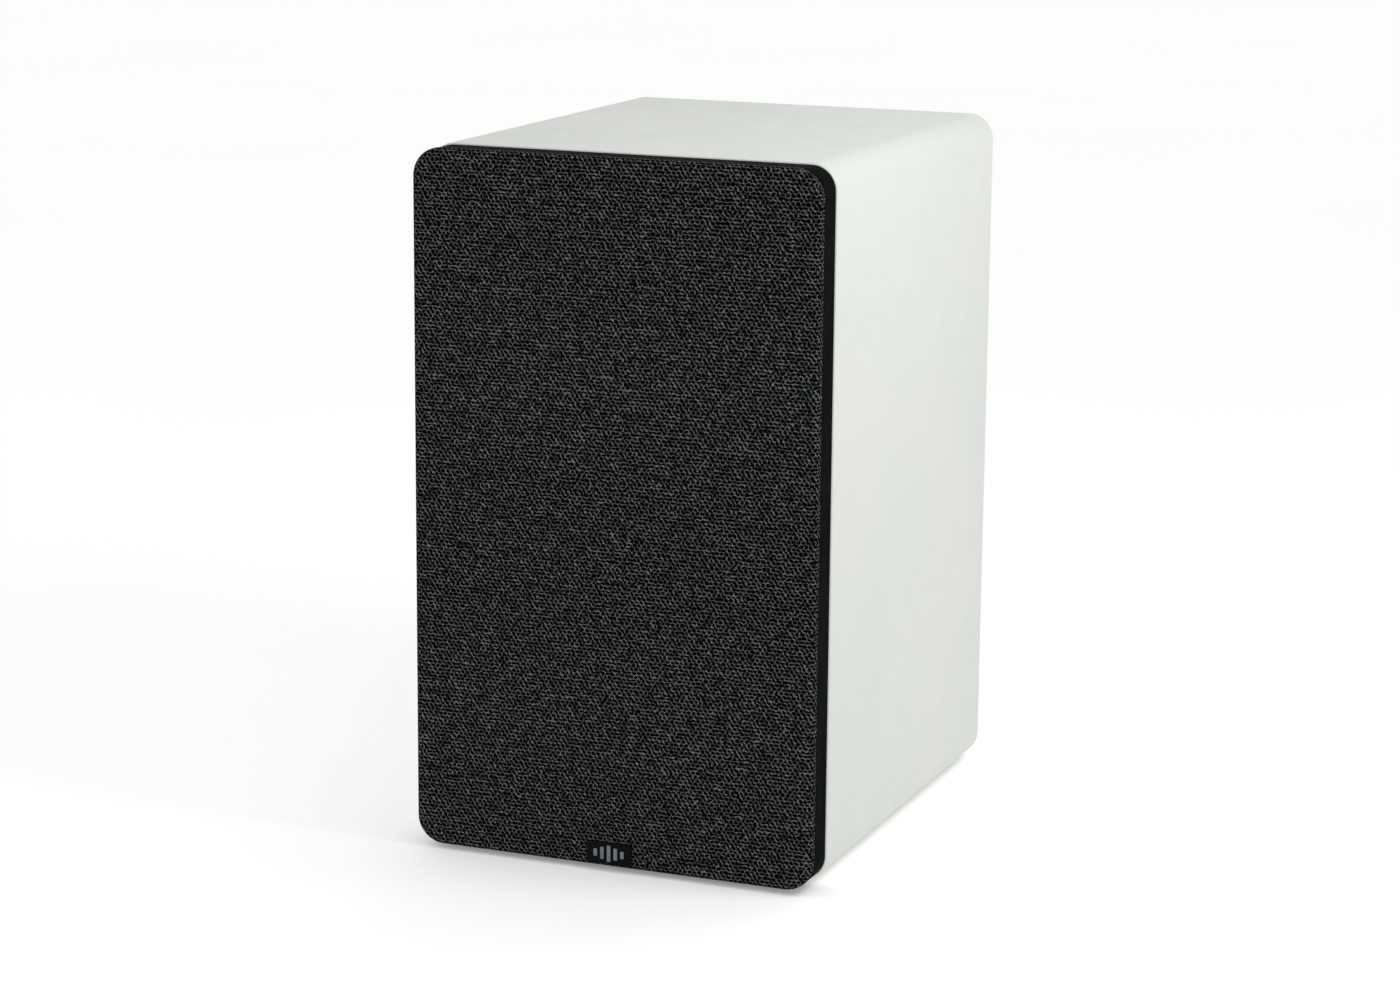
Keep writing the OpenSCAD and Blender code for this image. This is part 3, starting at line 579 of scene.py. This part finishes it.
def make_cabinet(looks):
    """One lofted ring with eased front and back edges, lacquered all over."""
    width, height = WRAP_HIGH.x - WRAP_LOW.x, WRAP_HIGH.z - WRAP_LOW.z
    corner, wall, inner_corner, ease = 12 * MM, 15 * MM, 6 * MM, 0.9 * MM
    front, back = WRAP_LOW.y, WRAP_HIGH.y
    section = rounded([(0, front), (0, back), (wall, back), (wall, front)], [ease, ease, 0.4 * MM, 0], 5)
    loops = []
    for inset, y in section:
        share = inset / wall
        radius = (corner - inset) if inset < 4 * MM else corner + (inner_corner - corner) * share
        loops.append(rect_loop(width - 2 * inset, height - 2 * inset, radius, y, sides=(6, 10)))
    points, faces = skin_loops(loops)
    add_piece("cabinet_shell", points, faces, looks["white"], "cabinet",
              ["cabinet_wrap"], 40)


# ---------------------------------------------------------------- grille

CLOTH_THICK = 0.55 * MM
CLOTH_EDGE = 2.6 * MM
CLOTH_CORNER = 13 * MM
CLOTH_STEP = 2.2 * MM


def cloth_path():
    """(inset from the side, depth behind the face, length along the cloth) from the hem to the flat front."""
    depth = CLOTH_HIGH.y - CLOTH_LOW.y
    hem = 5 * MM
    path = [(hem, depth), (hem * 0.6, depth), (1.2 * MM, depth)]
    path += [(0.35 * MM, depth - 0.25 * MM), (0.0, depth - 1.0 * MM), (0.0, depth * 0.66)]
    for k in range(9):
        a = math.pi / 2 * k / 8
        path.append((CLOTH_EDGE * (1 - math.cos(a)), CLOTH_EDGE * (1 - math.sin(a))))
    inset = CLOTH_EDGE
    while inset < CLOTH_CORNER - 0.5 * MM:
        inset = min(inset + 1.3 * MM, CLOTH_CORNER)
        path.append((inset, 0.0))
    path[-1] = (CLOTH_CORNER, 0.0)
    lengths = [0.0]
    for (a, b), (c, d) in zip(path, path[1:]):
        lengths.append(lengths[-1] + math.hypot(c - a, d - b))
    return [(i, d, lengths[-1] - t) for (i, d), t in zip(path, lengths)]


def cloth_relief(x, z):
    """Slight unevenness of the stretched cloth, at most 0.09 mm deep."""
    wave = math.sin(x * 61 + 1.3) * math.sin(z * 47 + 0.6) + 0.6 * math.sin(x * 139 + z * 83)
    return 0.045 * MM * (1.0 + wave * 0.6)


def cloth_surface(width, height):
    """Points, faces and flat places of the cloth.
    Loops make the hem, the sides and the rounded edges, and a grid makes the flat front."""
    flat_w, flat_h = width - 2 * CLOTH_CORNER, height - 2 * CLOTH_CORNER
    across, up = round(flat_w / CLOTH_STEP), round(flat_h / CLOTH_STEP)
    loops, marks = [], []
    for inset, depth, run in cloth_path():
        radius = max(CLOTH_CORNER - inset, 0.0)
        loop = rect_loop(width - 2 * inset, height - 2 * inset, radius, CLOTH_Y + depth, (across, up))
        rest = rect_loop(flat_w, flat_h, 0.0, 0.0, (across, up))
        outer = rect_loop(width, height, CLOTH_CORNER, 0.0, (across, up))
        for (x, y, z), (ox, _, oz) in zip(rest, outer):
            way = Vector((ox - x, oz - z)).normalized()
            marks.append((x + way.x * run, z + way.y * run))
        loops.append(loop)
    points, faces = skin_loops(loops, closed=False)

    def key(x, z):
        return round(x * 1e6), round(z * 1e6)

    last = (len(loops) - 1) * len(loops[0])
    index = {}
    for k, (x, _, z) in enumerate(loops[-1]):
        index.setdefault(key(x, z), last + k)
    grid = [[None] * (across + 1) for _ in range(up + 1)]
    for j in range(up + 1):
        for i in range(across + 1):
            x = MID_X - flat_w / 2 + flat_w * i / across
            z = MID_Z - flat_h / 2 + flat_h * j / up
            found = index.get(key(x, z))
            if found is None:
                found = len(points)
                points.append((x, CLOTH_Y, z))
                marks.append((x, z))
            grid[j][i] = found
    for j in range(up):
        for i in range(across):
            faces.append((grid[j][i], grid[j][i + 1], grid[j + 1][i + 1], grid[j + 1][i]))
    faces = whole_faces(points, faces)
    face_band = CLOTH_Y + 0.2 * MM
    points = [(x, y + (cloth_relief(x, z) if y < face_band else 0), z) for x, y, z in points]
    return points, faces, marks


def make_cloth(looks):
    """Closed sheet: front, rounded edges, sides and hem. Its UV map is measured along the cloth."""
    width, height = CLOTH_HIGH.x - CLOTH_LOW.x, CLOTH_HIGH.z - CLOTH_LOW.z
    points, faces, marks = cloth_surface(width, height)
    mesh = bpy.data.meshes.new("grille_cloth")
    mesh.from_pydata(points, [], faces)
    uv = mesh.uv_layers.new(name="cloth")
    for loop in mesh.loops:
        x, z = marks[loop.vertex_index]
        uv.data[loop.index].uv = (x / MM, z / MM)
    work = bmesh.new()
    work.from_mesh(mesh)
    bmesh.ops.remove_doubles(work, verts=work.verts, dist=1e-6)
    bmesh.ops.recalc_face_normals(work, faces=work.faces)
    middle = Vector((MID_X, CLOTH_Y, MID_Z))
    centre = min(work.faces, key=lambda f: (f.calc_center_median() - middle).length)
    if centre.normal.y > 0:
        bmesh.ops.reverse_faces(work, faces=work.faces)
    work.to_mesh(mesh)
    work.free()
    mesh.polygons.foreach_set("use_smooth", [True] * len(mesh.polygons))
    mesh.materials.append(looks["knit"])
    cloth = bpy.data.objects.new("grille_cloth", mesh)
    show(cloth)
    bpy.context.view_layer.objects.active = cloth
    thick = cloth.modifiers.new("thickness", "SOLIDIFY")
    thick.thickness = CLOTH_THICK
    thick.offset = -1
    cloth.select_set(True)
    bpy.ops.object.modifier_apply(modifier=thick.name)
    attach(cloth, "grille")
    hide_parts("grille_fabric")


def chamfered_bar(centre_x, centre_z, width, height, back, front, chamfer, steps=4):
    """Loops of a small upright plate with softened corners and a chamfered front edge."""
    radius = min(width, height) * 0.18
    rows = [(0, back), (0, front + chamfer), (chamfer * 0.3, front + chamfer * 0.3), (chamfer, front)]
    loops = []
    for inset, y in rows:
        corner = max(radius - inset * 0.5, 0.02 * MM)
        loop = rect_loop(width - 2 * inset, height - 2 * inset, corner, y, steps=steps)
        loops.append([(x - MID_X + centre_x, yy, z - MID_Z + centre_z) for x, yy, z in loop])
    return loops


def solid_from(loops, points, faces):
    """Adds a stack of loops, closed at both ends, to points and faces."""
    n, base = len(loops[0]), len(points)
    more, skin = skin_loops(loops, closed=False)
    points += more
    faces += [tuple(base + i for i in f) for f in skin]
    faces.append(tuple(base + i for i in reversed(range(n))))
    faces.append(tuple(base + (len(loops) - 1) * n + i for i in range(n)))


def make_badge(looks):
    low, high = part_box("badge_plate")
    centre = (low + high) / 2
    points, faces = [], []
    solid_from(chamfered_bar(centre.x, centre.z, high.x - low.x, high.z - low.z, high.y, low.y, 0.3 * MM),
               points, faces)
    add_piece("badge_face", points, faces, looks["badge_black"], "grille", ["badge_plate"], 25)
    low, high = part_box("badge_bars")
    heights = [3.6, 5.8, 7.8, 5.8, 3.6]
    pitch, wide, chamfer = 3.3 * MM, 1.9 * MM, 0.22 * MM
    points, faces = [], []
    for i, tall in enumerate(heights):
        x = (low.x + high.x) / 2 + (i - 2) * pitch
        solid_from(chamfered_bar(x, centre.z, wide, tall * MM, high.y, low.y, chamfer), points, faces)
    add_piece("badge_level_bars", points, faces, looks["badge_metal"], "grille",
              ["badge_bars"], 25)


# ---------------------------------------------------------------- drivers
# Profiles are in millimetres: the radius, and the height in front of the baffle's face.


def bend_round(piece):
    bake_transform(piece)


def make_woofer(looks):
    spot = on_driver(WOOFER_Z)
    ledge, foot, mid, roll, skin = -4.2, -3.4, 53.4, 5.0, 0.8
    lip_in, lip_out, bend_in, bend_out = 44.9, 61.8, 49.2, 57.6
    under = [(lip_in, ledge + 0.02), (48.5, ledge + 0.02), (49.1, ledge + 0.1)]
    under += arc(mid, ledge, roll - skin, 174, 6, 22)
    under += [(57.8, ledge + 0.1), (58.4, ledge + 0.02), (lip_out, ledge + 0.02)]
    over = [(lip_out, foot), (59.0, foot), (58.6, foot + 0.15)] + arc(mid, ledge, roll, 16, 164, 26)
    over += [(48.2, foot + 0.15), (47.8, foot), (lip_in, foot)]
    surround = turned_piece("woofer_surround_roll", under + over, spot, looks["rubber"], None,
                            ["woofer_surround"], 160, 50)
    bend_round(surround)

    ring_in, ring_out, ring_top, ring_foot = 58.6, 62.0, -0.2, foot + 0.06
    ring = rounded([(ring_in, ring_foot), (ring_in, -0.9), (ring_in + 1.0, ring_top), (ring_out, ring_top),
                    (ring_out, ring_foot)], [0, 0.5, 0.4, 0.3, 0], 4)
    turned_piece("woofer_ring", ring, spot, looks["rubber"], "cabinet",
                 ["woofer_trim_ring"], 160)

    neck_r, neck_z, edge_r, top, thin, curve, steps = 12.85, -24.5, 45.0, -4.3, 0.7, 1.18, 90
    rib_pitch, rib_width, rib_height = 4.2, 0.5, 0.22

    def cone_z(r):
        return top - (top - neck_z) * ((edge_r - r) / (edge_r - neck_r)) ** curve

    def rib(r):
        off = (r - 24) % rib_pitch - rib_pitch / 2
        return rib_height * math.exp(-(off / rib_width) ** 2) if 22 < r < 43 else 0.0

    radii = [neck_r + (edge_r - neck_r) * i / steps for i in range(steps + 1)]
    front = [(r, cone_z(r) - rib(r)) for r in radii]
    back = [(r, cone_z(r) - thin - rib(r) * 0.5) for r in radii]
    rim_r = 49.0
    profile = front + [(rim_r, top), (rim_r, top - thin)] + back[::-1]
    turned_piece("woofer_cone_body", profile, spot, looks["pulp"], "woofer_cone_assembly",
                 ["woofer_cone"])

    cap_r, rise = 19.0, 6.0
    ball = (cap_r ** 2 + rise ** 2) / (2 * rise)
    rim = cone_z(cap_r) + 0.3
    half = math.degrees(math.asin(cap_r / ball))
    outer = arc(0, rim + rise - ball, ball, 90 - half, 90, 28)
    inner = arc(0, rim + rise - ball, ball - thin, 90, 90 - half, 28)
    skirt = [(cap_r + 0.05, rim - 0.1), (cap_r + 1.3, cone_z(cap_r + 1.3) + 0.25), (cap_r + 1.0, rim + 0.35)]
    turned_piece("woofer_cap", skirt + outer + inner, spot, looks["cap"], "woofer_cone_assembly",
                 ["woofer_dust_cap"])

    r0, r1, r2, base, waves, swell, cloth, count = 12.8, 37.0, 42.6, -27.0, 5, 1.3, 0.5, 160
    wave = [(r0 + (r1 - r0) * i / count, base + swell * math.sin(2 * math.pi * waves * i / count))
            for i in range(count + 1)]
    low = [(r, z + 0.02) for r, z in wave] + [(r2, base + 0.02)]
    high = [(r2, base + cloth)] + [(r, z + cloth) for r, z in reversed(wave)]
    spider = turned_piece("woofer_spider_disc", low + high, spot, looks["spider"], None,
                          ["woofer_spider"], 120, 60)
    bend_round(spider)


def make_tweeter(looks):
    spot = on_driver(TWEETER_Z)
    seat = -9.0
    dome_r, rise, thin = 12.5, 5.2, 0.35
    ball = (dome_r ** 2 + rise ** 2) / (2 * rise)
    base = seat + 0.4
    half = math.degrees(math.asin(dome_r / ball))
    outer = arc(0, base + rise - ball, ball, 90 - half, 90, 30)
    inner = arc(0, base + rise - ball, ball - thin, 90, 90 - half, 30)
    turned_piece("tweeter_dome_cap", outer + inner, spot, looks["silk"], "tweeter_dome_assembly",
                 ["tweeter_dome"], 120)

    inside, outside, lip_out, low = 12.55, 16.3, 20.0, seat + 0.05
    mid, out = (inside + outside) / 2, (outside - inside) / 2
    under = [(inside, low)] + arc(mid, low, out - thin, 172, 8, 14) + [(16.0, low), (lip_out, low)]
    over = [(lip_out, low + thin)] + arc(mid, low, out, 14, 172, 16)
    roll = turned_piece("tweeter_suspension_roll", under + over, spot, looks["silk"], None,
                        ["tweeter_suspension"], 120, 50)
    bend_round(roll)


# ---------------------------------------------------------------- back


def make_port(looks):
    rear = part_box("rear_panel")[1].y
    radius, flare, wall, long, flange, face = 24.0, 11.0, 2.5, 112.0, 42.0, 1.7
    mouth = radius + flare
    bell = arc(mouth, face - flare, flare, 90, 180, 26)
    lip = rounded([(flange, 0.02), (flange, face), (mouth, face)], [0, 0.8, 0], 5, False)
    outline = [(flange, 0.02)] + lip[1:-1]
    tail = [(radius, -long + 6)] + arc(radius + 4.0, -long + 4, 4.0, 180, 232, 8)
    outer = [(radius + wall + 1.0, -long + 3.0), (radius + wall, -long + 8), (radius + wall, -15),
             (mouth, -5), (mouth, 0.02)]

    def spot(r, out, a):
        return PORT.x + r * math.cos(a), rear + out, PORT.z + r * math.sin(a)

    turned_piece("bass_port", outline + bell + tail + outer, spot, looks["port"], "cabinet",
                 ["port_tube"], 160, 35)


def fluted_loop(radius, y, centre, depth, flutes=12, steps=8):
    """Ring of points at depth y whose flutes are depth metres deep."""
    points = []
    count = flutes * steps
    for k in range(count):
        a = 2 * math.pi * k / count
        dip = max(0.0, math.cos(flutes * a)) ** 1.5 * depth
        r = radius - dip
        points.append((centre.x + r * math.cos(a), y, centre.z + r * math.sin(a)))
    return points


def make_knob(looks, side, finish):
    node = f"knob_{side}"
    low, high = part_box(node)
    centre = (low + high) / 2
    outer, bore, flute = 7.0 * MM, 3.05 * MM, 0.65 * MM
    # Radius, depth, and depth of the flutes there.
    rows = [(bore, low.y, 0), (outer - 0.5 * MM, low.y, 0), (outer, low.y + 0.5 * MM, 0),
            (outer, low.y + 2.6 * MM, 0), (outer, low.y + 3.2 * MM, flute), (outer, high.y - 1.2 * MM, flute),
            (outer - 0.4 * MM, high.y - 0.4 * MM, 0.5 * MM), (outer - 1.1 * MM, high.y, 0.3 * MM),
            (bore + 1.2 * MM, high.y, 0), (bore + 0.9 * MM, high.y - 0.4 * MM, 0),
            (bore, high.y - 0.4 * MM, 0)]
    loops = [fluted_loop(r, y, centre, d) for r, y, d in rows]
    points, faces = skin_loops(loops)
    add_piece(f"terminal_knob_{side}", points, faces, looks[finish], f"{side}_knob", [node], 28)


def pad_surface(y0, y1, z0, z1, wall_x, room_x, columns, rows):
    """Points and faces of one slab, flat on the wall, crowned and lumpy towards the room inside."""
    edge, thin_edge, lumps, seed = 9 * MM, 0.22, 55, wall_x * 40
    points, faces = [], []
    for sheet in (0, 1):
        for i in range(columns + 1):
            for j in range(rows + 1):
                y, z = y0 + (y1 - y0) * i / columns, z0 + (z1 - z0) * j / rows
                inward = min(y - y0, y1 - y, z - z0, z1 - z, edge) / edge
                lump = noise.noise(Vector((y * lumps, z * lumps, seed)))
                crown = max(math.sqrt(1 - (1 - inward) ** 2) * (0.86 + 0.14 * lump), 0)
                x = wall_x + (room_x - wall_x) * (thin_edge + (1 - thin_edge) * crown) * sheet
                points.append((x, y, z))
    flat, step = (columns + 1) * (rows + 1), rows + 1
    for i in range(columns):
        for j in range(rows):
            a = i * step + j
            faces.append((a, a + step, a + step + 1, a + 1))
            faces.append((flat + a, flat + a + 1, flat + a + step + 1, flat + a + step))
    rim = [i * step for i in range(columns)] + [columns * step + j for j in range(rows)]
    rim += [(columns - i) * step + rows for i in range(columns)] + [rows - j for j in range(rows)]
    for k, a in enumerate(rim):
        b = rim[(k + 1) % len(rim)]
        faces.append((a, b, b + flat, a + flat))
    return points, faces


def make_pads(looks):
    """Four slabs of wadding on the side walls, two above the brace and two below it."""
    corners = [v.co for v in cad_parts["damping_pads"].data.vertices]
    x_steps, z_steps = (sorted({round(c[axis], 5) for c in corners}) for axis in (0, 2))
    y0, y1 = min(c.y for c in corners), max(c.y for c in corners)
    columns = 22
    levels = (("low", z_steps[0], z_steps[1], 20), ("high", z_steps[2], z_steps[3], 26))
    for side, wall_x, room_x in (("left", x_steps[0], x_steps[1]), ("right", x_steps[3], x_steps[2])):
        for level, z0, z1, rows in levels:
            points, faces = pad_surface(y0, y1, z0, z1, wall_x, room_x, columns, rows)
            pad = add_piece(f"damping_pad_{side}_{level}", points, faces, looks["wadding"], "cabinet",
                            ["damping_pads"], 60)


def make_feet(looks):
    low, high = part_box("rubber_feet")
    radius, tall = 9.0, 2.0
    points, faces = [], []
    profile = rounded([(0.0, 0.0), (radius, 0.0), (radius - 0.4, tall), (0.0, tall)], [0, 0.5, 0.2, 0], 4)
    for x in (low.x + radius * MM, high.x - radius * MM):
        for y in (low.y + radius * MM, high.y - radius * MM):
            more, skin = lathe(profile, lambda r, up, a: (x + r * math.cos(a), y + r * math.sin(a), up), 48)
            base = len(points)
            points += more
            faces += [tuple(base + i for i in f) for f in skin]
    add_piece("foot_pads", points, faces, looks["rubber"], "cabinet", ["rubber_feet"])


# ---------------------------------------------------------------- stage


def make_floor():
    s = Shader("pale_floor", (0.95, 0.95, 0.95), 0.8, Specular_IOR_Level=0.1, Emission_Color=(1, 1, 1, 1),
               Emission_Strength=0.21)
    patch = s.between(s.noise(400, 2), 0.3, 0.7)
    s.feed("Base Color", s.mix(patch, (0.945, 0.945, 0.945), (0.955, 0.955, 0.955)))
    half = 30  # metres
    corners = [(-half, -half, 0), (half, -half, 0), (half, half, 0), (-half, half, 0)]
    mesh = bpy.data.meshes.new("floor")
    mesh.from_pydata(corners, [], [(0, 1, 2, 3)])
    mesh.materials.append(s.material)
    floor = bpy.data.objects.new("floor", mesh)
    show(floor)


def make_key():
    """Small softbox high on the right, which shades the side from the top down."""
    place, aim, size = Vector((0.46, -0.08, 0.6)), Vector((0.09, 0.0, 0.25)), 0.24
    data = bpy.data.lights.new("side_key", "AREA")
    data.shape = "RECTANGLE"
    data.size, data.size_y = size, size
    data.energy = 1.4
    light = bpy.data.objects.new("side_key", data)
    light.location = place
    light.rotation_euler = (aim - place).to_track_quat("-Z", "Y").to_euler()
    show(light)


def make_fill():
    """Very wide soft light from the front right."""
    round_from_front, height = math.radians(50), math.radians(35)
    data = bpy.data.lights.new("wide_soft", "SUN")
    data.angle = math.radians(50)
    data.energy = 0.09 * math.pi
    data.color = (1, 0.99, 0.985)
    light = bpy.data.objects.new("wide_soft", data)
    way = Vector((math.sin(round_from_front), -math.cos(round_from_front), math.tan(height)))
    light.rotation_euler = (-way).to_track_quat("-Z", "Y").to_euler()
    show(light)


def make_world():
    """White studio, a little dimmer overhead and towards the right."""
    world = bpy.data.worlds.new("studio")
    world.use_nodes = True
    nodes, links = world.node_tree.nodes, world.node_tree.links
    place = nodes.new("ShaderNodeTexCoord")
    parts = nodes.new("ShaderNodeSeparateXYZ")
    links.new(place.outputs["Generated"], parts.inputs[0])
    both = nodes.new("ShaderNodeMath")
    both.operation = "MULTIPLY"
    fades = (("Z", (0.06, 0.4, 1.0, 0.82)), ("X", (0.1, 0.9, 1.0, 0.57)))
    for index, (axis, numbers) in enumerate(fades):
        fade = nodes.new("ShaderNodeMapRange")
        fade.interpolation_type = "SMOOTHSTEP"
        for socket, number in zip(RANGE_SOCKETS, numbers):
            fade.inputs[socket].default_value = number
        links.new(parts.outputs[axis], fade.inputs["Value"])
        links.new(fade.outputs["Result"], both.inputs[index])
    links.new(both.outputs["Value"], nodes["Background"].inputs["Strength"])
    nodes["Background"].inputs["Color"].default_value = (0.99, 1, 0.99, 1)
    bpy.context.scene.world = world
    bpy.context.scene.view_settings.view_transform = "Standard"


# ---------------------------------------------------------------- carried-over CAD nodes

CARRIED = {
    "white": ["rear_panel"],
    "black": ["front_baffle"],
    "fibreboard": ["perforated_brace"],
    "frame_plastic": ["grille_frame"],
    "rubber": ["grille_sockets", "terminal_gasket"],
    "basket": ["woofer_basket"],
    "former": ["woofer_former"],
    "coil": ["woofer_coil", "tweeter_coil"],
    "steel": ["woofer_top_plate", "woofer_yoke", "tweeter_top_plate", "tweeter_yoke", "post_nuts",
              "board_screws"],
    "ferrite": ["woofer_magnet", "tweeter_magnet"],
    "tag": ["woofer_terminals", "tweeter_terminals"],
    "black_steel": ["woofer_screws", "tweeter_screws", "terminal_screws"],
    "faceplate": ["tweeter_faceplate", "tweeter_rear_cup"],
    "port": ["terminal_cup"],
    "brass": ["post_left", "post_right", "washer_left", "washer_right", "solder_tags"],
    "red": ["collar_left"],
    "knob_black": ["collar_right"],
    "board": ["crossover_board"],
    "film": ["crossover_capacitors"],
    "choke": ["crossover_inductors"],
    "cement": ["crossover_resistors"],
    "jacket_red": ["input_wires", "woofer_wires", "tweeter_wires"],
}

make_camera()
materials = make_materials()
for finish_name, node_names in CARRIED.items():
    paint(node_names, materials[finish_name])
make_cabinet(materials)
make_cloth(materials)
make_badge(materials)
make_woofer(materials)
make_tweeter(materials)
make_port(materials)
make_knob(materials, "left", "red")
make_knob(materials, "right", "knob_black")
make_pads(materials)
make_feet(materials)
make_floor()
make_key()
make_fill()
make_world()
